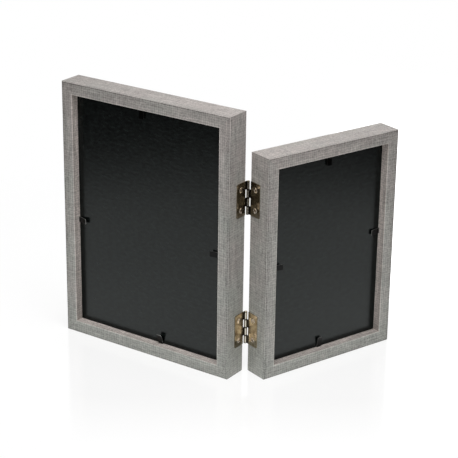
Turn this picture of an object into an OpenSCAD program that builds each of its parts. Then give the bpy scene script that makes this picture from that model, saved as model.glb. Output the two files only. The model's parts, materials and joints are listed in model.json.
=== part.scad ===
// Two box frames of different size, joined by two small butt hinges and stood in a V.
// Both hold a glass, a blank card and a backboard in a rabbet, kept in by bendable steel points.
// X runs along the large frame, its picture side faces -Y, and both frames stand on Z = 0.

/* [Large frame] */
// Overall width of the large frame
large_w = 150; // [110:1:260]
// Overall height of the large frame
large_h = 200; // [150:1:320]

/* [Small frame] */
// Overall width of the small frame
small_w = 120; // [90:1:220]
// Overall height of the small frame
small_h = 170; // [120:1:300]

/* [Fold] */
// Angle between the two picture sides as the frames stand
fold_angle = 109.25; // [60:0.25:170]

/* [Moulding] */
// Depth of both frames from front to back
frame_depth = 20; // [17:0.5:32]
// Width of a rail at its back face
rail_w = 9.25; // [8:0.25:16]
// How far the front lip reaches in past the rabbet wall
lip_reach = 5; // [3:0.5:9]
// How far the backboard lies below the back faces
back_recess = 6.2; // [4:0.1:8]
// Rounding of the long outer edges of a rail
edge_r = 0.4; // [0.3:0.1:1.5]

/* [Panels] */
// Thickness of the glass
glass_t = 2; // [1.5:0.1:3]
// Thickness of the card behind the glass
card_t = 0.4; // [0.2:0.1:1]
// Thickness of the backboard
board_t = 2.5; // [2:0.1:4]
// Gap between the glass's and the card's edges and the rabbet walls
panel_play = 0.75; // [0.3:0.05:1.5]
// Gap between the backboard's edges and the rabbet walls
board_play = 0.4; // [0.2:0.05:1]

/* [Hinges] */
// Height of a hinge, and so of its barrel
hinge_len = 25.4; // [20:0.2:40]
// From the pin's axis to a leaf's far edge
leaf_w = 12.7; // [11.5:0.1:16]
// Thickness of the sheet that a leaf is rolled from
leaf_t = 0.6; // [0.5:0.05:0.7]
// Outer radius of the rolled barrel
barrel_r = 1.2; // [1.15:0.05:1.5]
// Rounding of a leaf's far corners
leaf_corner_r = 1; // [0.5:0.1:2]
// From the small frame's ends to the nearest end of a hinge
hinge_inset = 21.8; // [16:0.2:34]
// How far the pins stand in front of the picture sides
pin_ahead = 1.7; // [1.4:0.05:3]
// Slit between a barrel and the cut-back edge of the other leaf
leaf_slit = 1; // [0.6:0.1:1.6]
// Running gap between the pin and the knuckles' bores, on the radius
pin_play = 0.05; // [0.03:0.01:0.08]
// Gap between knuckles that meet end to end
knuckle_gap = 0.15; // [0.1:0.05:0.4]

/* [Screws] */
// Distance between a leaf's two screws
screw_pitch = 15.4; // [12:0.2:17]
// From the pin's axis to the line of screws
screw_out = 7.85; // [7:0.05:8.4]
// Radius of a screw's head
head_r = 2.1; // [1.8:0.1:2.4]
// How far a screw's domed head stands above its leaf
crown_h = 0.4; // [0.2:0.05:0.5]
// Radius of a screw's shank
shank_r = 1; // [0.8:0.05:1.2]
// Length of a screw below its rim
screw_len = 10; // [7:0.5:12]

/* [Flexible points] */
// Whole length of a point, shown and driven in
point_len = 14.2; // [13:0.2:14.8]
// Width of a point
point_w = 4.2; // [3:0.2:6]
// Thickness of a point
point_t = 0.5; // [0.4:0.05:0.7]
// Place of the large frame's top, bottom, hinge side and outer side points along their rails
large_point_shares = [0.537, 0.427, 0.467, 0.458]; // [0.3:0.001:0.7]
// The same for the small frame
small_point_shares = [0.493, 0.467, 0.492, 0.534]; // [0.3:0.001:0.7]
// Length of each of the large frame's points that shows past its rabbet wall
large_point_reaches = [8.2, 8.2, 9.9, 8.2]; // [7:0.1:10]
// The same for the small frame
small_point_reaches = [8.2, 8.2, 9, 8.2]; // [7:0.1:10]
// How far each large frame point is bent up off its backboard, in degrees
large_point_lifts = [7, 21, 10, 16]; // [2:0.5:40]
// The same for the small frame
small_point_lifts = [6, 10, 13, 8]; // [2:0.5:40]

/* [Corner nails] */
// Length of each wing of a corner nail
nail_wing = 4.6; // [3:0.2:5]
// Thickness of a corner nail
nail_t = 0.5; // [0.4:0.05:0.8]
// Height of a corner nail, driven along the frame's depth
nail_h = 7; // [5:0.5:10]
// From the back face down to the nail
nail_sink = 1; // [0.5:0.1:1.5]
// From the frame's outer faces to the nail's bend
nail_inset = 3.2; // [2.6:0.1:4]

/* [Hidden] */
$fn = 48;

// Overrun of a cutting shape past the face it cuts
over = 1;

// The rabbet, measured along the frame's depth from the picture side
lip_t = frame_depth - back_recess - board_t - card_t - glass_t;
card_v = lip_t + glass_t;
board_v = card_v + card_t;
board_back = board_v + board_t;
lip_w = rail_w + lip_reach;

// The hinge axis: beside the side faces by the barrel's radius, so that a leaf lies on the face
axis_aside = barrel_r;
fold_turn = 180 - fold_angle;
axis_x = -large_w / 2 - axis_aside;
axis_y = -frame_depth / 2 - pin_ahead;

// The barrel and its pin. The roll stops short of its leaf by the angle of roll_gap.
bore_r = barrel_r - leaf_t;
pin_r = bore_r - pin_play;
knuckles = 4;
knuckle_pitch = hinge_len / knuckles;
knuckle_len = knuckle_pitch - knuckle_gap;
leaf_edge = barrel_r + leaf_slit;
roll_gap = 18;
roll_open = acos(bore_r / barrel_r) + roll_gap;
peen_r = barrel_r - leaf_t / 2;
peen_h = leaf_t / 3;
lower_z = hinge_inset;
upper_z = small_h - hinge_inset - hinge_len;
large_knuckles = [1, 3];
small_knuckles = [0, 2];

// Raised countersunk heads: a cone of 90 degrees under a cap cut from a sphere
fit_play = 0.05;
cone_h = head_r - shank_r;
dome_r = (head_r * head_r + crown_h * crown_h) / (2 * crown_h);
tip_h = 2 * shank_r;
cross_w = shank_r / 3;
cross_len = 1.3 * head_r;
cross_deep = cone_h / 2;

// A flexible point: its bend lies just clear of the rabbet wall and just above the backboard
bend_play = point_t / 5;
point_gap = 0.3 * point_t;
bend_p = bend_play + point_t / 2;
bend_n = point_gap + point_t / 2;
point_corner_r = point_w / 6;

// Each flexible point as [its share along its rail, its reach past the wall, its lift]
large_points = [for (side = [0 : 3])
  [large_point_shares[side], large_point_reaches[side], large_point_lifts[side]]];
small_points = [for (side = [0 : 3])
  [small_point_shares[side], small_point_reaches[side], small_point_lifts[side]]];

// Colours
wrap_color = [0.55, 0.54, 0.53];
board_color = [0.07, 0.07, 0.075];
card_color = [0.93, 0.92, 0.89];
glass_color = [0.75, 0.85, 0.85, 0.4];
steel_color = [0.6, 0.6, 0.62];
black_color = [0.05, 0.05, 0.05];
brass_color = [0.45, 0.37, 0.22];
pin_color = [0.5, 0.44, 0.3];

// Places. A frame is drawn with its hinge side on the pin's axis, reaching out along +X,
// with its picture side towards -Y. The small frame is that shape mirrored and swung round.
module on_large() {
  translate([axis_x, axis_y, 0]) children();
}

module on_small() {
  translate([axis_x, axis_y, 0]) rotate([0, 0, fold_turn]) mirror([1, 0, 0]) children();
}

module in_frame() {
  translate([axis_aside, pin_ahead, 0]) children();
}

// The moulding's cross-section: a box with a rabbet cut from its back inner corner
module round_corner(x, y, sx, sy) {
  translate([x, y]) scale([sx, sy]) difference() {
    translate([-over, -over]) square(edge_r + over);
    translate([edge_r, edge_r]) circle(edge_r);
    translate([edge_r, -2 * over]) square(edge_r + 3 * over);
    translate([-2 * over, edge_r]) square(edge_r + 3 * over);
  }
}

module moulding_section() {
  difference() {
    union() {
      square([rail_w, frame_depth]);
      square([lip_w, lip_t]);
    }
    round_corner(0, 0, 1, 1);
    round_corner(lip_w, 0, -1, 1);
    round_corner(0, frame_depth, 1, -1);
    round_corner(rail_w, frame_depth, -1, -1);
  }
}

// A rail that stands along Z at X = 0, with both ends mitred towards +X
module mitred_bar(length) {
  intersection() {
    linear_extrude(height = length) moulding_section();
    translate([0, frame_depth + over, 0]) rotate([90, 0, 0])
      linear_extrude(height = frame_depth + 2 * over)
        polygon([[-over, -over], [lip_w + over, lip_w + over],
                 [lip_w + over, length - lip_w - over], [-over, length + over]]);
  }
}

// The bent nail across the mitre at the corner X = 0, Z = 0
module corner_nail() {
  translate([nail_inset, frame_depth - nail_sink - nail_h, nail_inset]) {
    cube([nail_wing, nail_h, nail_t]);
    cube([nail_t, nail_h, nail_wing]);
  }
}

// The buried end of a flexible point, in a rail of the length given
module point_blade(length, point) {
  driven = point_len - point[1];
  translate([rail_w - driven, board_back + point_gap, point[0] * length - point_w / 2])
    cube([driven, point_t, point_w]);
}

// The free end of a flexible point, bent up about its root
module point_tongue(length, point) {
  straight = point[1] - bend_p;
  root = [rail_w + bend_p, board_back + bend_n, point[0] * length];
  translate(root) rotate([0, 0, point[2]]) {
    translate([0, 0, -point_w / 2]) cylinder(r = point_t / 2, h = point_w);
    translate([0, point_t / 2, 0]) rotate([90, 0, 0]) linear_extrude(height = point_t) {
      translate([0, -point_w / 2]) square([straight - point_corner_r, point_w]);
      translate([0, point_corner_r - point_w / 2])
        square([straight, point_w - 2 * point_corner_r]);
      for (side = [-1, 1])
        translate([straight - point_corner_r, side * (point_w / 2 - point_corner_r)])
          circle(point_corner_r);
    }
  }
}

// One rail with its nail slots and the slot of its flexible point
module slotted_bar(length, point) {
  difference() {
    mitred_bar(length);
    corner_nail();
    translate([0, 0, length]) mirror([0, 0, 1]) corner_nail();
    point_blade(length, point);
  }
}

// What lies along an upright side is drawn as it is, what lies along the bottom is
// the same turned over the corner, and the outer side and the top are mirrored from them
module to_bottom() {
  mirror([1, 0, -1]) children();
}

module to_top(h) {
  translate([0, 0, h]) mirror([0, 0, 1]) to_bottom() children();
}

module to_outer(w) {
  translate([w, 0, 0]) mirror([1, 0, 0]) children();
}

module screw_places() {
  for (z = [lower_z, upper_z]) translate([0, 0, z]) leaf_screw_places() children();
}

module leaf_screw_places() {
  for (side = [-1, 1])
    translate([axis_aside - leaf_t, screw_out, hinge_len / 2 + side * screw_pitch / 2])
      rotate([0, 90, 0]) children();
}

module hinge_rail(h, points) {
  color(wrap_color) difference() {
    in_frame() slotted_bar(h, points[2]);
    screw_places() screw_void();
  }
}

module outer_rail(w, h, points) {
  color(wrap_color) in_frame() to_outer(w) slotted_bar(h, points[3]);
}

module bottom_rail(w, points) {
  color(wrap_color) in_frame() to_bottom() slotted_bar(w, points[1]);
}

module top_rail(w, h, points) {
  color(wrap_color) in_frame() to_top(h) slotted_bar(w, points[0]);
}

// Panels in the rabbet
module panel(w, h, v, t, play) {
  edge = rail_w + play;
  in_frame() translate([edge, v, edge]) cube([w - 2 * edge, t, h - 2 * edge]);
}

module glass(w, h) {
  color(glass_color) panel(w, h, lip_t, glass_t, panel_play);
}

module insert_card(w, h) {
  color(card_color) panel(w, h, card_v, card_t, panel_play);
}

module backboard(w, h) {
  color(board_color) panel(w, h, board_v, board_t, board_play);
}

module corner_nails(w, h) {
  color(steel_color) in_frame()
    for (x = [0, 1], z = [0, 1])
      translate([x * w, 0, z * h]) mirror([x, 0, 0]) mirror([0, 0, z]) corner_nail();
}

module point_blades(w, h, points) {
  color(black_color) in_frame() {
    to_top(h) point_blade(w, points[0]);
    to_bottom() point_blade(w, points[1]);
    point_blade(h, points[2]);
    to_outer(w) point_blade(h, points[3]);
  }
}

module top_point(w, h, points) {
  color(black_color) in_frame() to_top(h) point_tongue(w, points[0]);
}

module bottom_point(w, points) {
  color(black_color) in_frame() to_bottom() point_tongue(w, points[1]);
}

module hinge_point(h, points) {
  color(black_color) in_frame() point_tongue(h, points[2]);
}

module outer_point(w, h, points) {
  color(black_color) in_frame() to_outer(w) point_tongue(h, points[3]);
}

// Hinges. The sheet comes off the far edge of the leaf, runs on at a tangent to the barrel,
// and rolls once round the pin until its end nearly meets the leaf again.
module roll_section() {
  difference() {
    circle(barrel_r);
    circle(bore_r);
    polygon([[0, 0], [2 * barrel_r, 0], [2 * barrel_r, 2 * barrel_r * tan(roll_open)]]);
  }
  translate([bore_r, 0]) square([leaf_t, leaf_edge]);
}

module leaf_outline(own) {
  for (k = own)
    translate([0, k * knuckle_pitch + knuckle_gap / 2]) square([leaf_edge + over, knuckle_len]);
  translate([leaf_edge, 0]) square([leaf_w - leaf_edge - leaf_corner_r, hinge_len]);
  translate([leaf_edge, leaf_corner_r])
    square([leaf_w - leaf_edge, hinge_len - 2 * leaf_corner_r]);
  for (z = [leaf_corner_r, hinge_len - leaf_corner_r])
    translate([leaf_w - leaf_corner_r, z]) circle(leaf_corner_r);
}

module leaf(z, own) {
  color(brass_color) difference() {
    translate([0, 0, z]) {
      translate([bore_r, 0, 0]) rotate([90, 0, 90]) linear_extrude(height = leaf_t)
        leaf_outline(own);
      for (k = own)
        translate([0, 0, k * knuckle_pitch + knuckle_gap / 2])
          linear_extrude(height = knuckle_len) roll_section();
    }
    translate([0, 0, z]) leaf_screw_places() screw_void();
  }
}

module hinge_pin(z) {
  color(pin_color) translate([0, 0, z]) {
    cylinder(r = pin_r, h = hinge_len);
    for (side = [0, 1])
      translate([0, 0, side * hinge_len]) mirror([0, 0, 1 - side])
        cylinder(r1 = peen_r, r2 = pin_r, h = peen_h);
  }
}

// A screw along +Z from the leaf's outer face, and the hole that it needs
module screw_void() {
  translate([0, 0, -over]) cylinder(r = head_r + fit_play, h = over);
  cylinder(r1 = head_r + fit_play, r2 = shank_r + fit_play, h = cone_h);
  cylinder(r = shank_r + fit_play, h = screw_len + fit_play);
}

module screw_dome() {
  intersection() {
    translate([0, 0, -crown_h]) cylinder(r = head_r, h = crown_h);
    translate([0, 0, dome_r - crown_h]) sphere(dome_r);
  }
}

module screw() {
  difference() {
    union() {
      cylinder(r1 = head_r, r2 = shank_r, h = cone_h);
      screw_dome();
      cylinder(r = shank_r, h = screw_len - tip_h);
      translate([0, 0, screw_len - tip_h]) cylinder(r1 = shank_r, r2 = 0, h = tip_h);
    }
    for (turn = [0, 90])
      rotate([0, 0, 45 + turn]) translate([-cross_len / 2, -cross_w / 2, -over])
        cube([cross_len, cross_w, over + cross_deep]);
  }
}

module leaf_screws(z) {
  color(brass_color) translate([0, 0, z]) leaf_screw_places() screw();
}

// The large frame
module large_top_rail() {
  on_large() top_rail(large_w, large_h, large_points);
}

module large_bottom_rail() {
  on_large() bottom_rail(large_w, large_points);
}

module large_hinge_rail() {
  on_large() hinge_rail(large_h, large_points);
}

module large_outer_rail() {
  on_large() outer_rail(large_w, large_h, large_points);
}

module large_glass() {
  on_large() glass(large_w, large_h);
}

module large_insert_card() {
  on_large() insert_card(large_w, large_h);
}

module large_backboard() {
  on_large() backboard(large_w, large_h);
}

module large_corner_nails() {
  on_large() corner_nails(large_w, large_h);
}

module large_point_blades() {
  on_large() point_blades(large_w, large_h, large_points);
}

module large_top_point() {
  on_large() top_point(large_w, large_h, large_points);
}

module large_bottom_point() {
  on_large() bottom_point(large_w, large_points);
}

module large_hinge_point() {
  on_large() hinge_point(large_h, large_points);
}

module large_outer_point() {
  on_large() outer_point(large_w, large_h, large_points);
}

// The small frame
module small_top_rail() {
  on_small() top_rail(small_w, small_h, small_points);
}

module small_bottom_rail() {
  on_small() bottom_rail(small_w, small_points);
}

module small_hinge_rail() {
  on_small() hinge_rail(small_h, small_points);
}

module small_outer_rail() {
  on_small() outer_rail(small_w, small_h, small_points);
}

module small_glass() {
  on_small() glass(small_w, small_h);
}

module small_insert_card() {
  on_small() insert_card(small_w, small_h);
}

module small_backboard() {
  on_small() backboard(small_w, small_h);
}

module small_corner_nails() {
  on_small() corner_nails(small_w, small_h);
}

module small_point_blades() {
  on_small() point_blades(small_w, small_h, small_points);
}

module small_top_point() {
  on_small() top_point(small_w, small_h, small_points);
}

module small_bottom_point() {
  on_small() bottom_point(small_w, small_points);
}

module small_hinge_point() {
  on_small() hinge_point(small_h, small_points);
}

module small_outer_point() {
  on_small() outer_point(small_w, small_h, small_points);
}

// The hinges between them
module upper_large_leaf() {
  on_large() leaf(upper_z, large_knuckles);
}

module upper_small_leaf() {
  on_small() leaf(upper_z, small_knuckles);
}

module upper_hinge_pin() {
  on_large() hinge_pin(upper_z);
}

module upper_large_screws() {
  on_large() leaf_screws(upper_z);
}

module upper_small_screws() {
  on_small() leaf_screws(upper_z);
}

module lower_large_leaf() {
  on_large() leaf(lower_z, large_knuckles);
}

module lower_small_leaf() {
  on_small() leaf(lower_z, small_knuckles);
}

module lower_hinge_pin() {
  on_large() hinge_pin(lower_z);
}

module lower_large_screws() {
  on_large() leaf_screws(lower_z);
}

module lower_small_screws() {
  on_small() leaf_screws(lower_z);
}

large_top_rail();
large_bottom_rail();
large_hinge_rail();
large_outer_rail();
large_glass();
large_insert_card();
large_backboard();
large_corner_nails();
large_point_blades();
large_top_point();
large_bottom_point();
large_hinge_point();
large_outer_point();
small_top_rail();
small_bottom_rail();
small_hinge_rail();
small_outer_rail();
small_glass();
small_insert_card();
small_backboard();
small_corner_nails();
small_point_blades();
small_top_point();
small_bottom_point();
small_hinge_point();
small_outer_point();
upper_large_leaf();
upper_small_leaf();
upper_hinge_pin();
upper_large_screws();
upper_small_screws();
lower_large_leaf();
lower_small_leaf();
lower_hinge_pin();
lower_large_screws();
lower_small_screws();
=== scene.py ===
import json
import math

import bmesh
import bpy
from mathutils import Matrix, Vector

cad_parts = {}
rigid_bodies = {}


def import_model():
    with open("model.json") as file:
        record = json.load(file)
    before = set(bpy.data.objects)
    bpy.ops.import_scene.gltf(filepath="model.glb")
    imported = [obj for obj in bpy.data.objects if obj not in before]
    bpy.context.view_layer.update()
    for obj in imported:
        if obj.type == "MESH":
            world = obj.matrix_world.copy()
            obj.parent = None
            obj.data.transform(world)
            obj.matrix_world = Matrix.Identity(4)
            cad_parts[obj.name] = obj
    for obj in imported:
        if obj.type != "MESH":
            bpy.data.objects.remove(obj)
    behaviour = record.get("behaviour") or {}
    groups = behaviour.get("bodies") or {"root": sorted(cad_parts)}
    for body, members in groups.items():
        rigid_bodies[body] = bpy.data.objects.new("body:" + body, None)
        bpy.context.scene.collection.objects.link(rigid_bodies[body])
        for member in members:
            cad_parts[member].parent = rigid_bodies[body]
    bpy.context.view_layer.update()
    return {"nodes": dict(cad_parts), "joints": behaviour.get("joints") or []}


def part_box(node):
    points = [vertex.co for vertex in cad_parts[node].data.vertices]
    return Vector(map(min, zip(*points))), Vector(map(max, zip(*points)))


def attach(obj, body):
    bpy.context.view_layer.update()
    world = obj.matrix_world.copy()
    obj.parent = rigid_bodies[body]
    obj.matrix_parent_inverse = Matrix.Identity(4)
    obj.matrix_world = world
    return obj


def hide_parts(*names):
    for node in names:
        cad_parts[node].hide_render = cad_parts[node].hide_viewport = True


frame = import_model()
NODES = frame["nodes"]
JOINTS = {joint["name"]: joint for joint in frame["joints"]}
MM = 0.001

# The fold axis, and how far the small frame's own axes are turned about +Z at rest
AXIS = Vector(JOINTS["fold"]["pos_m"])
FOLD_TURN = math.radians(-JOINTS["fold"]["range_deg"][0])

# Each frame's turn, width and height. The small frame is 30 mm narrower than the large one
large_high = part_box("large_outer_rail")[1]
LARGE_W = 2 * large_high.x
SMALL_W = LARGE_W - 30 * MM
FRAMES = {
    "large": (0.0, LARGE_W, large_high.z),
    "small": (FOLD_TURN, SMALL_W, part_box("small_outer_rail")[1].z),
}

# How far the back faces and the hinge sides are from the fold axis, and how wide the rails' back faces are
BACK_FACE = large_high.y - AXIS.y
HINGE_FACE = -AXIS.x - LARGE_W / 2
RAIL_W = 9.25 * MM

WHITE = (1, 1, 1)


class Tree:
    """A shader node tree, with short calls for the nodes used here."""

    def __init__(self, tree):
        self.tree = tree

    def put(self, socket, value):
        """Link a socket to another one, or set its value."""
        if isinstance(value, bpy.types.NodeSocket):
            self.tree.links.new(value, socket)
        elif isinstance(value, (tuple, list)) and len(value) == 3 and socket.type == "RGBA":
            socket.default_value = (*value, 1)
        else:
            socket.default_value = value

    def add(self, kind, *values, **named):
        """A new node. The named values set its properties and inputs, and the others its inputs in order."""
        node = self.tree.nodes.new("ShaderNode" + kind)
        for key, value in named.items():
            if hasattr(node, key):
                setattr(node, key, value)
            else:
                self.put(node.inputs[key], value)
        for socket, value in zip(node.inputs, values):
            self.put(socket, value)
        return node

    def math(self, operation, *values):
        return self.add("Math", *values, operation=operation).outputs[0]

    def plus(self, total, *values):
        for value in values:
            total = self.math("ADD", total, value)
        return total

    def minus(self, a, b):
        return self.math("SUBTRACT", a, b)

    def times(self, product, *values):
        for value in values:
            product = self.math("MULTIPLY", product, value)
        return product

    def over(self, a, b):
        return self.math("DIVIDE", a, b)

    def absolute(self, value):
        return self.math("ABSOLUTE", value)

    def vector(self, operation, *values):
        """A vector operation. Lengths, distances and dot products are numbers."""
        node = self.add("VectorMath", *values, operation=operation)
        return node.outputs["Vector" if operation == "SUBTRACT" else "Value"]

    def range(self, value, low, high, to_low=0.0, to_high=1.0, smooth=False):
        kind = "SMOOTHSTEP" if smooth else "LINEAR"
        return self.add("MapRange", value, low, high, to_low, to_high, interpolation_type=kind).outputs[0]

    def near(self, distance, inner, outer):
        """1 up to the inner distance, 0 from the outer one."""
        return self.range(distance, inner, outer, 1.0, 0.0, smooth=True)

    def mix(self, share, a, b, blend="MIX"):
        """A mix of two colours."""
        node = self.add("Mix", share, data_type="RGBA", blend_type=blend)
        self.put(node.inputs[6], a)
        self.put(node.inputs[7], b)
        return node.outputs[2]

    def multiply(self, colour, by):
        return self.mix(1.0, colour, by, "MULTIPLY")

    def place(self, turn=0.0):
        """Object coordinates in metres from the fold axis, turned back about it by the given angle."""
        where = self.add("TexCoord").outputs["Object"]
        shifted = self.vector("SUBTRACT", where, (AXIS.x, AXIS.y, 0))
        return self.add("VectorRotate", rotation_type="Z_AXIS", Vector=shifted, Angle=-turn).outputs[0]

    def xyz(self, vector):
        return self.add("SeparateXYZ", vector).outputs

    def join(self, x, y, z):
        return self.add("CombineXYZ", x, y, z).outputs[0]

    def noise(self, vector, scale, detail=2.0, roughness=0.5):
        node = self.add("TexNoise", Vector=vector, Scale=scale, Detail=detail, Roughness=roughness)
        return node.outputs["Fac"]

    def vary(self, start, *parts, clamp=False):
        """The start, plus each (weight, value) pair's weight times how far its value is from one half."""
        total = start
        for weight, value in parts:
            node = self.add("Math", self.minus(value, 0.5), weight, total, operation="MULTIPLY_ADD")
            total = node.outputs[0]
        node.use_clamp = clamp
        return total

    def bump(self, height, distance):
        return self.add("Bump", Strength=1.0, Distance=distance, Height=height).outputs["Normal"]

    def rays(self, *kinds):
        """1 for a ray of any of these kinds, 0 for the others."""
        path = self.add("LightPath")
        share = path.outputs[kinds[0]]
        for kind in kinds[1:]:
            share = self.math("MAXIMUM", share, path.outputs[kind])
        return share

    def glow(self, strength):
        return self.add("Emission", Color=WHITE, Strength=strength).outputs[0]

    def matt(self, colour):
        return self.add("BsdfDiffuse", Color=colour).outputs[0]

    def both(self, a, b):
        """The sum of two shaders."""
        return self.add("AddShader", a, b).outputs[0]

    def blend(self, share, a, b):
        """Shader a where the share is 0, shader b where it is 1."""
        return self.add("MixShader", share, a, b).outputs[0]


class Nodes(Tree):
    """A new material's node tree."""

    def __init__(self, name):
        self.material = bpy.data.materials.new(name)
        self.material.use_nodes = True
        super().__init__(self.material.node_tree)
        self.shader = self.tree.nodes["Principled BSDF"]

    def set(self, **inputs):
        """Fill the principled shader's inputs, and return the material."""
        names = {"ior": "IOR", "specular": "Specular IOR Level"}
        for key, value in inputs.items():
            self.put(self.shader.inputs[names.get(key, key.replace("_", " ").title())], value)
        return self.material

    def surface(self, shader):
        """Show another shader, and return the material."""
        self.put(self.tree.nodes["Material Output"].inputs["Surface"], shader)
        return self.material


def linear(*levels):
    """sRGB levels out of 255, each over 10, as a linear colour."""
    return tuple(((level / 255 + 0.055) / 1.055) ** 2.4 for level in levels)


def scaled(colour, by):
    """A colour times a number."""
    return tuple(by * channel for channel in colour)


# The foil that wraps the rails is printed with a linen weave, its yarns this far apart
YARN = 0.92 * MM
# How often a yarn wanders, per metre across the yarns and along them, and how far, in yarns
WANDER_ACROSS = 90
WANDER_ALONG = 45
WANDER = 0.9
# Where a yarn's light and dark stretches are in the noise: a step for each yarn, from a start, on a plane of their
# own. The weft's are further on
STREAK_STEP = 0.73
STREAK_START = 0.31
STREAK_SEED = 3.7
WEFT_SEED = 11.3
# The print's middle tone, and how much the warp's and weft's stretches, the blotches, the yarns' height, each
# crossing and the pairs of yarns change it
LINEN_TONE = 0.97
WARP_TONE, WEFT_TONE = 1.00, 0.52
BLOTCH_TONE = 0.12
HEIGHT_TONE = 0.32
CROSSING_TONE = 0.38
WARP_PAIRS, WEFT_PAIRS = 0.18, 0.15
# The foil's tints: low down, at the top, and on the rabbet's walls, where the tint is warmer and painted paler as
# painted light
LINEN_GREEN = linear(172, 173, 167)
LINEN_PINK = linear(179, 172, 168)
LINEN_WALL = linear(197, 188, 182)
# Painted light on the rabbet's walls: how light they are painted, by frame and by whether they are upright, how
# much paler beside the board, against the shade of that corner, and how much the upright ones' tone rises with
# height
WALL_TONE = {("large", True): 0.87, ("large", False): 1.00, ("small", True): 0.92, ("small", False): 0.79}
WALL_PALER = 1.38
WALL_RISE = (0.93, 1.12)
# The walls start at the opening's edge and end just under the board, which is 6.2 mm below the back faces
WALL_START = (RAIL_W - 0.2 * MM, RAIL_W)
WALL_END = (7 * MM, 8 * MM)
# How the back faces' tone changes from the outer edge to the opening
FACE_SLOPE = (-0.055, 0.075)
# Painted shade: the tone away from the outer top corners, how much darker these are painted, where less light
# falls, and the hinge sides' tone, painted darker or lighter for the light each side gets
CORNER_START = 1.025
CORNER_DARK = 0.13
SIDE_TONE = {"large": 0.94, "small": 1.02}
# The painted highlights: round the opening, on the outer edges, and stronger on the upright outer edges at the top
OPENING_LINE = {"large": 0.22, "small": 0.16}
OPENING_SPAN = (0.6 * MM, 1.15 * MM)
EDGE_LINE = 0.16
EDGE_TOP_HIGHLIGHT = {"large": 0.60, "small": 0.16}
EDGE_SPAN = (0.25 * MM, 0.7 * MM)
# The dark lines beside the outer edges: how strong they are, and where they start and end
DARK_LINE = 0.27
DARK_START = (0.3 * MM, 0.7 * MM)
DARK_END = (1.0 * MM, 1.5 * MM)
# The mitres' creases: half their width, how far in they run, how strong they are low down and at the top, how much
# they darken the foil, and how deep they are, in yarns' heights
CREASE_SPAN = (0.10 * MM, 0.45 * MM)
CREASE_REACH = (3 * MM, 8 * MM)
CREASE_FADE = (1.0, 0.25)
CREASE_DARK = 0.35
CREASE_DEPTH = 1.5
LINEN_RELIEF = 0.06 * MM


def rail_place(m, frame_name, upright):
    """Where a point of a rail is: along the rail, in from its outer face, down from its back face, how far from
    the mitre, and its height as a share of the frame's."""
    turn, width, height = FRAMES[frame_name]
    x, y, z = m.xyz(m.place(turn))
    from_hinge = m.minus(m.absolute(x), HINGE_FACE)
    side_in = m.minus(width / 2, m.absolute(m.minus(from_hinge, width / 2)))
    end_in = m.minus(height / 2, m.absolute(m.minus(z, height / 2)))
    along, inward = (z, side_in) if upright else (from_hinge, end_in)
    return along, inward, m.minus(BACK_FACE, y), m.absolute(m.minus(side_in, end_in)), m.over(z, height)


def yarns(m, across, along, seed):
    """One set of yarns: the place counted in yarns, the ridge of each one, and its light and dark stretches."""
    stretch = m.times(along, WANDER_ALONG)
    wander = m.noise(m.join(m.times(across, WANDER_ACROSS), stretch, seed), 1.0)
    count = m.plus(m.over(across, YARN), m.times(wander, WANDER))
    ridge = m.range(m.math("COSINE", m.times(count, 2 * math.pi)), -1.0, 1.0)
    number = m.plus(m.times(m.math("FLOOR", count), STREAK_STEP), STREAK_START)
    streak = m.noise(m.join(number, stretch, seed + STREAK_SEED), 1.0, 3.0, 0.55)
    return count, ridge, streak


def by_turns(m, yarn):
    """1 on one yarn and -1 on the next."""
    return m.math("COSINE", m.times(yarn[0], math.pi))


def weave_height(m, warp, weft):
    """Plain weave: at each crossing one yarn lies over the other, by turns."""
    share = m.range(m.times(by_turns(m, warp), by_turns(m, weft)), -1.0, 1.0)
    return m.math("MAXIMUM", m.times(warp[1], share), m.times(weft[1], m.minus(1.0, share)))


def paired(m, yarn):
    """Every second yarn is the darker one, more so in some stretches."""
    weight = m.range(yarn[2], 0.35, 0.6, 0.3, 1.6)
    return m.vary(0.5, (weight, m.range(by_turns(m, yarn), -1.0, 1.0)))


def crossing_tone(m, warp, weft):
    """Each crossing's own print tone."""
    crossing = m.join(m.math("FLOOR", warp[0]), m.math("FLOOR", weft[0]), 0.0)
    return m.add("TexWhiteNoise", noise_dimensions="2D", Vector=crossing).outputs["Value"]


def woven_tone(m, warp, weft, height, blotch):
    """The print's tone, from its yarns, its crossings and its blotches."""
    return m.vary(LINEN_TONE, (WARP_TONE, warp[2]), (WEFT_TONE, weft[2]), (BLOTCH_TONE, blotch),
                  (HEIGHT_TONE, height), (CROSSING_TONE, crossing_tone(m, warp, weft)),
                  (WARP_PAIRS, paired(m, warp)), (WEFT_PAIRS, paired(m, weft)))


def corner_shade(m, frame_name):
    """Painted shade: the foil is painted a little darker toward the outer top corner, where less light falls, and
    darker or lighter on the hinge side for the light that side gets.
    """
    turn, width, height = FRAMES[frame_name]
    x, _, z = m.xyz(m.place(turn))
    outward = m.range(m.over(m.absolute(x), width), 0.35, 1.0)
    upward = m.range(m.over(z, height), 0.45, 1.0)
    tone = m.minus(CORNER_START, m.times(outward, upward, CORNER_DARK))
    side = m.near(m.minus(m.absolute(x), HINGE_FACE), 0.15 * MM, 0.4 * MM)
    return m.times(tone, m.range(side, 0.0, 1.0, 1.0, SIDE_TONE[frame_name]))


def edge_lines(m, frame_name, upright, inward, down, level):
    """The wrapped corners: a painted highlight on the edge itself, a dark line beside it."""
    outer_edge = m.plus(inward, down)
    opening_edge = m.plus(m.absolute(m.minus(RAIL_W, inward)), m.times(down, 2.5))
    # Painted highlight on the outer edges, stronger toward the top of the upright ones
    top_highlight = m.range(level, 0.80, 0.97, EDGE_LINE, EDGE_TOP_HIGHLIGHT[frame_name]) if upright else EDGE_LINE
    light = m.plus(m.times(m.near(outer_edge, *EDGE_SPAN), top_highlight),
                   m.times(m.near(opening_edge, *OPENING_SPAN), OPENING_LINE[frame_name]))
    dark = m.minus(m.near(outer_edge, *DARK_END), m.near(outer_edge, *DARK_START))
    return m.minus(light, m.times(dark, DARK_LINE))


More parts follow.
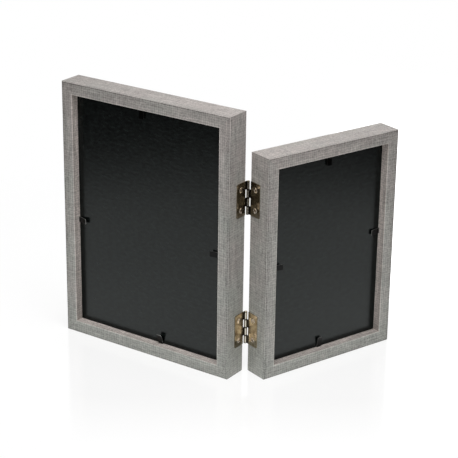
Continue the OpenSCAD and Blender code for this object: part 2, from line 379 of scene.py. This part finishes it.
def mitre_crease(m, mitre, inward, level):
    """The crease where two rails meet, strongest at the frame's lower corners."""
    fade = m.range(level, 0.1, 0.6, *CREASE_FADE)
    return m.times(m.near(mitre, *CREASE_SPAN), fade, m.near(inward, *CREASE_REACH))


def wall_tone(m, upright, down, level):
    """Painted light: the rabbet's walls are painted paler toward the board, and the upright ones toward the top."""
    pale = m.range(down, 1.0 * MM, 6.0 * MM, 1.0, WALL_PALER)
    return m.times(pale, m.range(level, 0.15, 0.85, *WALL_RISE)) if upright else pale


def linen_material(name, frame_name, upright, seed):
    """The linen foil on the upright or the level rails of a frame."""
    m = Nodes(name)
    along, inward, down, mitre, level = rail_place(m, frame_name, upright)
    across = m.minus(inward, down)
    warp = yarns(m, across, along, seed)
    weft = yarns(m, along, across, seed + WEFT_SEED)
    height = weave_height(m, warp, weft)
    spread = m.join(m.times(across, 1.6), along, seed * 0.37)
    tone = woven_tone(m, warp, weft, height, m.noise(spread, 55.0, 4.0, 0.6))
    crease = mitre_crease(m, mitre, inward, level)
    tone = m.plus(tone, edge_lines(m, frame_name, upright, inward, down, level))
    tone = m.minus(tone, m.times(crease, CREASE_DARK))
    # The tint drifts from greenish low down to pinkish at the top, and is warmest on the rabbet's walls, where it
    # is also painted paler as painted light
    drift = m.noise(spread, 38.0, 2.0)
    tint = m.mix(m.vary(0.40, (2.0, drift), (1.0, level), clamp=True), LINEN_GREEN, LINEN_PINK)
    wall = m.times(m.range(inward, *WALL_START), m.near(down, *WALL_END))
    tint = m.mix(wall, tint, scaled(LINEN_WALL, WALL_TONE[frame_name, upright]))
    # Painted light: the walls are painted paler toward the board and, where upright, toward the top
    tone = m.times(tone, m.range(wall, 0.0, 1.0, 1.0, wall_tone(m, upright, down, level)))
    # The back faces are paler toward the opening
    slope = m.times(m.near(down, 0.2 * MM, 0.6 * MM), m.range(inward, 1.0 * MM, RAIL_W, *FACE_SLOPE))
    # Painted shade toward the outer top corners and on the hinge sides
    tone = m.times(tone, m.plus(slope, 1.0), corner_shade(m, frame_name))
    relief = m.minus(height, m.times(crease, CREASE_DEPTH))
    return m.set(base_color=m.multiply(tint, tone), roughness=m.range(warp[2], 0.3, 0.7, 0.5, 0.66), specular=0.35,
                 normal=m.bump(relief, LINEN_RELIEF))


# The board's two blacks, its cool gloss, and how rough and how deep its surface is
BOARD_BLACK = (0.0003, 0.0004, 0.0004)
BOARD_GREY = linear(21, 26, 25)
BOARD_GLOSS_TINT = (0.93, 1.0, 0.98)
BOARD_ROUGHNESS = (0.22, 0.26)
BOARD_RELIEF = 0.036 * MM


def board_material():
    """Sealed hardboard: satin black, with a faint mottle."""
    m = Nodes("black_board")
    where = m.place()
    x, y, z = m.xyz(where)
    along = m.vector("LENGTH", m.join(x, y, 0.0))
    grain = m.noise(m.join(m.times(along, 250), m.times(z, 500), 2.0), 1.0)
    mottle = m.noise(where, 70.0, 4.0, 0.6)
    pores = m.noise(where, 1800.0)
    colour = m.mix(m.range(grain, 0.38, 0.70), BOARD_BLACK, BOARD_GREY)
    relief = m.vary(0.5, (0.1, pores), (1.0, grain))
    return m.set(base_color=colour, roughness=m.range(mottle, 0.3, 0.7, *BOARD_ROUGHNESS), specular=0.235,
                 specular_tint=BOARD_GLOSS_TINT, normal=m.bump(relief, BOARD_RELIEF))


# Where the hinges' knuckles are, of which each hinge has four
LOWER_HINGE_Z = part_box("lower_large_leaf")[0].z
UPPER_HINGE_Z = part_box("upper_large_leaf")[0].z
KNUCKLE_PITCH = (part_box("lower_large_leaf")[1].z - LOWER_HINGE_Z) / 4

# How little a dull, lacquered edge gives back at a grazing angle
EDGE_TINT = (0.25, 0.24, 0.22)

# The way that the hinges' open side faces at rest: the middle of the notch between the frames. The barrels' painted
# highlight is brightest where they face this way
NOTCH = (-math.sin(FOLD_TURN / 2), math.cos(FOLD_TURN / 2), 0)

# On a leaf, in from the pin: where the barrel ends, the groove beside its own knuckles, which gets painted shade,
# and the cut-back edge, which gets painted light
BARREL_END = (1.22 * MM, 1.26 * MM)
GROOVE_END = (2.3 * MM, 3.9 * MM)
CUT_BACK_END = (4.2 * MM, 5.4 * MM)
GROOVE_DARK = 0.8
CUT_BACK_PALE = 0.6
# How bright the barrel's painted highlight is from the sides to its ridge, on the lower hinge and the upper, which
# mirror different surroundings, and beside a joint of two knuckles, where painted shade falls, and away from it
RIDGE_RISE = (0.30, 1.20)
HINGE_RISE = (0.6, 1.0)
JOINT_RISE = (0.12, 1.0)


def barrel_light_and_shade(m, x, y, z, frame_name):
    """Where a leaf's barrel is, and how bright each place is painted: a painted highlight along the barrel's ridge
    facing the notch, painted shade in the groove beside its own knuckles and where knuckles meet, painted light
    where it is cut back."""
    flat = m.join(x, y, 0.0)
    from_pin = m.vector("LENGTH", flat)
    on_upper = m.math("GREATER_THAN", z, (LOWER_HINGE_Z + UPPER_HINGE_Z) / 2)
    local = m.minus(m.minus(z, LOWER_HINGE_Z), m.times(on_upper, UPPER_HINGE_Z - LOWER_HINGE_Z))
    count = m.over(local, KNUCKLE_PITCH)
    joint = m.times(m.math("PINGPONG", count, 0.5), KNUCKLE_PITCH)
    facing = m.over(m.vector("DOT_PRODUCT", flat, NOTCH), from_pin)
    ridge = m.times(m.range(facing, 0.50, 0.88, *RIDGE_RISE, smooth=True), m.range(on_upper, 0.0, 1.0, *HINGE_RISE),
                    m.range(joint, 0.35 * MM, 0.8 * MM, *JOINT_RISE, smooth=True))
    odd = m.math("GREATER_THAN", m.math("FRACT", m.over(count, 2.0)), 0.5)
    own = odd if frame_name == "large" else m.minus(1.0, odd)
    groove = m.times(m.near(from_pin, *GROOVE_END), own)
    cut_back = m.times(m.near(from_pin, *CUT_BACK_END), m.minus(1.0, own))
    leaf = m.plus(m.minus(1.0, m.times(groove, GROOVE_DARK)), m.times(cut_back, CUT_BACK_PALE))
    on_barrel = m.near(from_pin, *BARREL_END)
    return on_barrel, m.plus(m.times(on_barrel, ridge), m.times(m.minus(1.0, on_barrel), leaf))


# Brass, clean and tarnished, and the rubbed metal of the leaves' barrels
PIN_BRASS = ((0.60, 0.53, 0.40), (0.35, 0.29, 0.20))
SCREW_BRASS = ((0.95, 0.86, 0.76), (0.50, 0.41, 0.33))
LEAF_BRASS = ((0.455, 0.40, 0.305), (0.25, 0.185, 0.12))
BARREL_METAL = (0.52, 0.495, 0.43)
PIN_ROUGHNESS, SCREW_ROUGHNESS, LEAF_ROUGHNESS = 0.22, 0.18, 0.17
BRASS_RELIEF = 0.004 * MM
# How bright each leaf's brass is painted: painted light and shade for what each leaf mirrors, the brass being the
# same. The two lower leaves mirror each other
LEAF_PAINTED_LIGHT = {"lower_large_leaf": 0.74, "lower_small_leaf": 1.25, "upper_large_leaf": 0.82, "upper_small_leaf": 0.86}


def brass_material(name, base, tarnish, rough, leaf_of=None):
    """Drawn brass: fine lines along the hinge, tarnish in patches."""
    m = Nodes(name)
    where = m.place()
    x, y, z = m.xyz(where)
    drawn = m.noise(m.join(m.times(x, 9000), m.times(y, 9000), m.times(z, 500)), 1.0)
    patches = m.noise(where, 330.0, 4.0, 0.62)
    aged = m.range(patches, 0.46, 0.66, smooth=True)
    colour = m.multiply(m.mix(m.times(aged, 0.65), base, tarnish), m.vary(1.0, (0.22, drawn)))
    # On a leaf: a painted highlight along the barrel's ridge, painted shade in the groove and joints, painted light
    # where cut back
    if leaf_of:
        on_barrel, shade = barrel_light_and_shade(m, x, y, z, leaf_of)
        colour = m.multiply(m.mix(on_barrel, colour, BARREL_METAL), shade)
    roughness = m.vary(rough, (0.10, drawn), (0.16, patches))
    return m.set(base_color=colour, metallic=1.0, roughness=roughness, normal=m.bump(drawn, BRASS_RELIEF),
                 specular_tint=EDGE_TINT)


# Blackened steel and its bare edges, bare steel, and card, each between two colours
TONGUE_BLACKS = ((0.0008, 0.0008, 0.0008), (0.003, 0.003, 0.0025))
TONGUE_BARE = (0.52, 0.52, 0.50)
STEEL_GREYS = ((0.34, 0.34, 0.35), (0.56, 0.56, 0.57))
CARD_WHITES = ((0.78, 0.765, 0.73), (0.86, 0.85, 0.82))
CARD_RELIEF = 0.01 * MM


def tongue_material(name, facing, worn, sheen):
    """Blackened spring steel with worn sheared edges. Facing is its broad face's direction."""
    m = Nodes(name)
    normal = m.add("TexCoord").outputs["Normal"]
    scuff = m.noise(m.place(), 900.0, 3.0)
    sheared = m.near(m.absolute(m.vector("DOT_PRODUCT", normal, tuple(facing))), 0.5, 0.8)
    bare = m.times(sheared, m.range(scuff, 0.25, 0.55, 0.35 * worn, worn))
    return m.set(base_color=m.mix(bare, m.mix(scuff, *TONGUE_BLACKS), TONGUE_BARE), metallic=bare,
                 roughness=m.range(scuff, 0.3, 0.7, 0.3, 0.45), specular=sheen)


def steel_material(name):
    """Bare driven steel."""
    m = Nodes(name)
    grain = m.noise(m.place(), 1500.0, 3.0)
    return m.set(base_color=m.mix(grain, *STEEL_GREYS), metallic=1.0, roughness=m.range(grain, 0.3, 0.7, 0.32, 0.5))


def card_material():
    """Plain uncoated card."""
    m = Nodes("blank_card")
    fibre = m.noise(m.place(), 1400.0, 4.0, 0.65)
    return m.set(base_color=m.mix(fibre, *CARD_WHITES), roughness=0.85, normal=m.bump(fibre, CARD_RELIEF))


# Thin float glass is only just green
GLASS_COLOUR = (0.985, 0.995, 0.990)


def glass_material():
    """Clear float glass. The light of what lies behind it passes straight through."""
    m = Nodes("clear_glass")
    m.set(base_color=GLASS_COLOUR, roughness=0.0, transmission_weight=1.0, ior=1.5)
    clear = m.add("BsdfTransparent", Color=GLASS_COLOUR)
    lighting = m.rays("Is Shadow Ray", "Is Diffuse Ray")
    return m.surface(m.blend(lighting, m.shader.outputs[0], clear.outputs[0]))


def tongue_facing(name):
    """The direction that a tongue's broad face looks at rest, from its joint."""
    joint = JOINTS[name + "_bend"]
    flat = Matrix.Rotation(FRAMES[name.split("_")[0]][0], 3, "Z") @ Vector((0, 1, 0))
    return Matrix.Rotation(math.radians(-joint["range_deg"][0]), 3, Vector(joint["axis"])) @ flat


# How bare a tongue's edges are, and how glossy its black is. The top tongues' weaker gloss is painted shade: the
# same steel, dulled where these tongues mirror darker surroundings
TONGUE_LOOKS = {"large_top_point": (0.1, 0.02), "small_top_point": (0.1, 0.02), "large_bottom_point": (0.6, 0.17),
                "small_bottom_point": (0.3, 0.17)}
OTHER_TONGUES = (1.0, 0.17)


def make_materials():
    """Every material, under its piece's name or a word that is in the names of its pieces."""
    materials = {
        "backboard": board_material(),
        "pin": brass_material("pin_brass", *PIN_BRASS, PIN_ROUGHNESS),
        "screws": brass_material("screw_brass", *SCREW_BRASS, SCREW_ROUGHNESS),
        "nails": steel_material("nail_steel"),
        "blades": steel_material("blade_steel"),
        "card": card_material(),
        "glass": glass_material(),
    }
    for number, (frame_name, upright) in enumerate((f, u) for f in FRAMES for u in (True, False)):
        key = frame_name + ("_upright" if upright else "_level")
        materials[key] = linen_material("linen_" + key, frame_name, upright, 2.0 + 5.1 * number)
    for name in NODES:
        if name.endswith("_point"):
            worn, sheen = TONGUE_LOOKS.get(name, OTHER_TONGUES)
            materials[name] = tongue_material("steel_" + name, tongue_facing(name), worn, sheen)
        if name.endswith("_leaf"):
            # Each leaf's brass, scaled by its painted light and shade
            brass = (scaled(colour, LEAF_PAINTED_LIGHT[name]) for colour in LEAF_BRASS)
            materials[name] = brass_material("aged_brass_" + name, *brass, LEAF_ROUGHNESS, name.split("_")[1])
    return materials


MATERIALS = make_materials()


def material_for(name):
    """The material of a CAD node."""
    if name in MATERIALS:
        return MATERIALS[name]
    if name.endswith("rail"):
        upright = "hinge" in name or "outer" in name
        return MATERIALS[name.split("_")[0] + ("_upright" if upright else "_level")]
    for key in ("backboard", "pin", "screws", "nails", "blades", "card", "glass"):
        if key in name:
            return MATERIALS[key]
    raise ValueError("no material for " + name)


for name, node in NODES.items():
    node.data.materials.clear()
    node.data.materials.append(material_for(name))


def add_object(name, data):
    """A new object in the scene."""
    obj = bpy.data.objects.new(name, data)
    bpy.context.scene.collection.objects.link(obj)
    return obj


# The blank cards: sheets with rounded corners, a hair clear of the glass and of the board
CARD_CLEAR = 0.04 * MM
CARD_CORNER = 1.5 * MM
CORNER_STEPS = 4


def card_outline(low, high):
    """The outline of a card, each corner rounded, as (along, up) pairs."""
    for number in range(4):
        centre_along = (high.x - CARD_CORNER) if number in (0, 3) else (low.x + CARD_CORNER)
        centre_up = (high.z - CARD_CORNER) if number in (0, 1) else (low.z + CARD_CORNER)
        for step in range(CORNER_STEPS + 1):
            angle = math.radians(90 * (number + step / CORNER_STEPS))
            yield centre_along + CARD_CORNER * math.cos(angle), centre_up + CARD_CORNER * math.sin(angle)


def add_card(frame_name):
    """A card in the place of its CAD node, thinner by the clearance on both faces."""
    node = NODES[frame_name + "_insert_card"]
    to_world = Matrix.Translation(AXIS) @ Matrix.Rotation(FRAMES[frame_name][0], 4, "Z")
    places = [to_world.inverted() @ vertex.co for vertex in node.data.vertices]
    low, high = (Vector(pick(axis) for axis in zip(*places)) for pick in (min, max))
    bm = bmesh.new()
    front, back = ([bm.verts.new(to_world @ Vector((along, depth, up))) for along, up in card_outline(low, high)]
                   for depth in (low.y + CARD_CLEAR, high.y - CARD_CLEAR))
    bm.faces.new(front)
    bm.faces.new(reversed(back))
    for number in range(len(front)):
        bm.faces.new((front[number - 1], back[number - 1], back[number], front[number]))
    bmesh.ops.recalc_face_normals(bm, faces=bm.faces)
    mesh = bpy.data.meshes.new(frame_name + "_card")
    bm.to_mesh(mesh)
    bm.free()
    mesh.materials.append(MATERIALS["card"])
    card = add_object(frame_name + "_card", mesh)
    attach(card, frame_name + "_frame")
    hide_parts(frame_name + "_insert_card")


for frame_name in FRAMES:
    add_card(frame_name)


# The camera: its place, then how far it is turned, tipped down and rolled
CAMERA_AT = Vector((-0.66143, 0.87488, 0.52972))
CAMERA_YAW = math.radians(34.1332)
CAMERA_PITCH = math.radians(21.49568)
CAMERA_ROLL = math.radians(-0.8098)
FOCAL_PX = 1598.57
IMAGE_PX = 458
SENSOR = 36.0


def add_camera():
    """The camera that was matched to the photograph's corners and edges."""
    level = Vector((math.sin(CAMERA_YAW), -math.cos(CAMERA_YAW), 0))
    right = Vector((-math.cos(CAMERA_YAW), -math.sin(CAMERA_YAW), 0))
    forward = math.cos(CAMERA_PITCH) * level - Vector((0, 0, math.sin(CAMERA_PITCH)))
    up = math.sin(CAMERA_PITCH) * level + Vector((0, 0, math.cos(CAMERA_PITCH)))
    side = right * math.cos(CAMERA_ROLL) - up * math.sin(CAMERA_ROLL)
    top = right * math.sin(CAMERA_ROLL) + up * math.cos(CAMERA_ROLL)
    data = bpy.data.cameras.new("camera")
    data.sensor_width = SENSOR
    data.sensor_fit = "HORIZONTAL"
    data.lens = FOCAL_PX * SENSOR / IMAGE_PX
    data.clip_start = 0.01
    data.clip_end = 100
    camera = add_object("camera", data)
    camera.matrix_world = Matrix.Translation(CAMERA_AT) @ Matrix((side, top, -forward)).transposed().to_4x4()
    bpy.context.scene.camera = camera


# The studio: a large white floor, on which a round table top's light is painted. The middle of that table top:
TABLE_AT = Vector((-0.06, -0.02, 0))
FLOOR_RADIUS = 6.0
FLOOR_Z = -0.2 * MM
# What mirrors the table top sees: its lit rings, each from one distance to another and from one level to another
TABLE_RINGS = ((0.15, 0.26, 0.12, 0.0), (0.36, 0.535, 0.75, 0.0), (0.48, 0.64, 0.10, 0.015))
TABLE_GLOW = 1.6
# The floor's place below the fold axis, and the way that the notch between the frames faces, nearly
SPINE_AT = tuple(Vector((AXIS.x, AXIS.y, 0)) - TABLE_AT)
FRONT_TURN = math.radians(34.1332)
FRONT = (-math.sin(FRONT_TURN), math.cos(FRONT_TURN), 0)
# A painted flag: what is mirrored in front is painted darker, from this distance from the spine on and within these
# cosines of FRONT
FLAG_FROM = (0.22, 0.27)
FLAG_COSINES = (0.45, 0.60)
FLAG_DARK = 0.9
# The light that the frames get from below: everywhere, and round two spots, one before each frame's back
LOW_GLOW = 0.115
GLOW_SPOTS = ((Vector((0.08, 0.14, 0)), 0.21), (Vector((-0.12, 0.08, 0)), 0.17))
GLOW_REACH = (0.03, 0.24)
FLOOR_MATT = (0.85, 0.85, 0.85)
# How much of the seen floor's white is matt, so that it keeps the object's shadow, what that comes to in the open,
# and the distances over which it ends
SHADED_SHARE = 0.25
SHADED_LEVEL = 0.18
SHADED_END = (0.25, 0.50)
# The seen floor's gloss, and where it ends in front of the spine
GLOSS_SHARE = 0.09
GLOSS_ROUGHNESS = 0.12
GLOSS_END = (0.045, 0.115)


def in_front(m, where):
    """How far a floor point is in front of the spine."""
    return m.vector("DOT_PRODUCT", m.vector("SUBTRACT", where, SPINE_AT), FRONT)


def mirrored_light(m, where):
    """What boards and hinges mirror, all painted: the lit table top, dark beyond it and under the painted flag."""
    reach = m.vector("LENGTH", where)
    light = m.plus(*(m.range(reach, *ring, smooth=True) for ring in TABLE_RINGS))
    from_spine = m.vector("DISTANCE", where, SPINE_AT)
    cosine = m.over(in_front(m, where), from_spine)
    flag = m.times(m.range(from_spine, *FLAG_FROM, smooth=True), m.range(cosine, *FLAG_COSINES, smooth=True))
    return m.times(light, TABLE_GLOW, m.minus(1.0, m.times(flag, FLAG_DARK)))


def low_light(m, where):
    """What lights the frames from below."""
    glow = LOW_GLOW
    for at, power in GLOW_SPOTS:
        distance = m.vector("DISTANCE", where, tuple(at - TABLE_AT))
        glow = m.plus(glow, m.range(distance, *GLOW_REACH, power, 0.0, smooth=True))
    return glow


def seen_floor(m, where):
    """What the camera sees: white, with a faint gloss that ends in front, and a matt share round the object."""
    reach = m.vector("LENGTH", where)
    white = m.glow(m.range(reach, *SHADED_END, 1.0 - SHADED_LEVEL, 1.0, smooth=True))
    gloss = m.add("BsdfGlossy", Color=WHITE, Roughness=GLOSS_ROUGHNESS).outputs[0]
    glossy = m.blend(m.range(in_front(m, where), *GLOSS_END, GLOSS_SHARE, 0.0), white, gloss)
    return m.both(glossy, m.matt(m.range(reach, *SHADED_END, SHADED_SHARE, 0.0, smooth=True)))


def floor_material():
    """The floor as the camera sees it, as glossy surfaces mirror it, and as it lights the object."""
    m = Nodes("floor")
    where = m.add("TexCoord").outputs["Object"]
    table = m.both(m.matt(FLOOR_MATT), m.glow(low_light(m, where)))
    unseen = m.blend(m.rays("Is Glossy Ray"), table, m.glow(mirrored_light(m, where)))
    return m.surface(m.blend(m.rays("Is Camera Ray", "Is Transmission Ray"), unseen, seen_floor(m, where)))


def add_floor():
    """The floor, a disc a hair below the frames' undersides."""
    mesh = bpy.data.meshes.new("floor")
    bm = bmesh.new()
    bmesh.ops.create_circle(bm, cap_ends=True, radius=FLOOR_RADIUS, segments=128)
    bm.to_mesh(mesh)
    bm.free()
    mesh.materials.append(floor_material())
    floor = add_object("floor", mesh)
    floor.location = (TABLE_AT.x, TABLE_AT.y, FLOOR_Z)


# How strongly the world lights the object, where the lamps aim, and the lamps: name, place, size in metres, watts
WORLD_LIGHT = 0.096
LAMPS_AIM = Vector((-0.04, -0.03, 0.09))
LAMPS = (("top", (-0.24, 0.19, 1.0), 0.7, 7.9), ("picture_side", (0.15, -0.8, 0.14), 0.3, 1.8))


def add_world():
    """A dim white light all round, which shows as full white itself and in what mirrors it."""
    world = bpy.data.worlds.new("studio")
    bpy.context.scene.world = world
    world.use_nodes = True
    w = Tree(world.node_tree)
    dim = w.tree.nodes["Background"]
    w.put(dim.inputs["Color"], WHITE)
    w.put(dim.inputs["Strength"], WORLD_LIGHT)
    full = w.add("Background", Color=WHITE, Strength=1.0)
    seen = w.rays("Is Camera Ray", "Is Transmission Ray", "Is Glossy Ray")
    w.put(w.tree.nodes["World Output"].inputs["Surface"], w.blend(seen, dim.outputs[0], full.outputs[0]))


def add_lamp(name, at, size, power):
    """A square soft lamp, aimed at the frames."""
    data = bpy.data.lights.new(name, "AREA")
    data.shape = "SQUARE"
    data.size = size
    data.energy = power
    lamp = add_object(name, data)
    lamp.location = at
    lamp.rotation_euler = (LAMPS_AIM - Vector(at)).to_track_quat("-Z", "Y").to_euler()


for obj in list(bpy.data.objects):
    if obj.type in ("LIGHT", "CAMERA"):
        bpy.data.objects.remove(obj)
add_camera()
add_floor()
add_world()
for lamp in LAMPS:
    add_lamp(*lamp)
bpy.context.scene.view_settings.view_transform = "Standard"
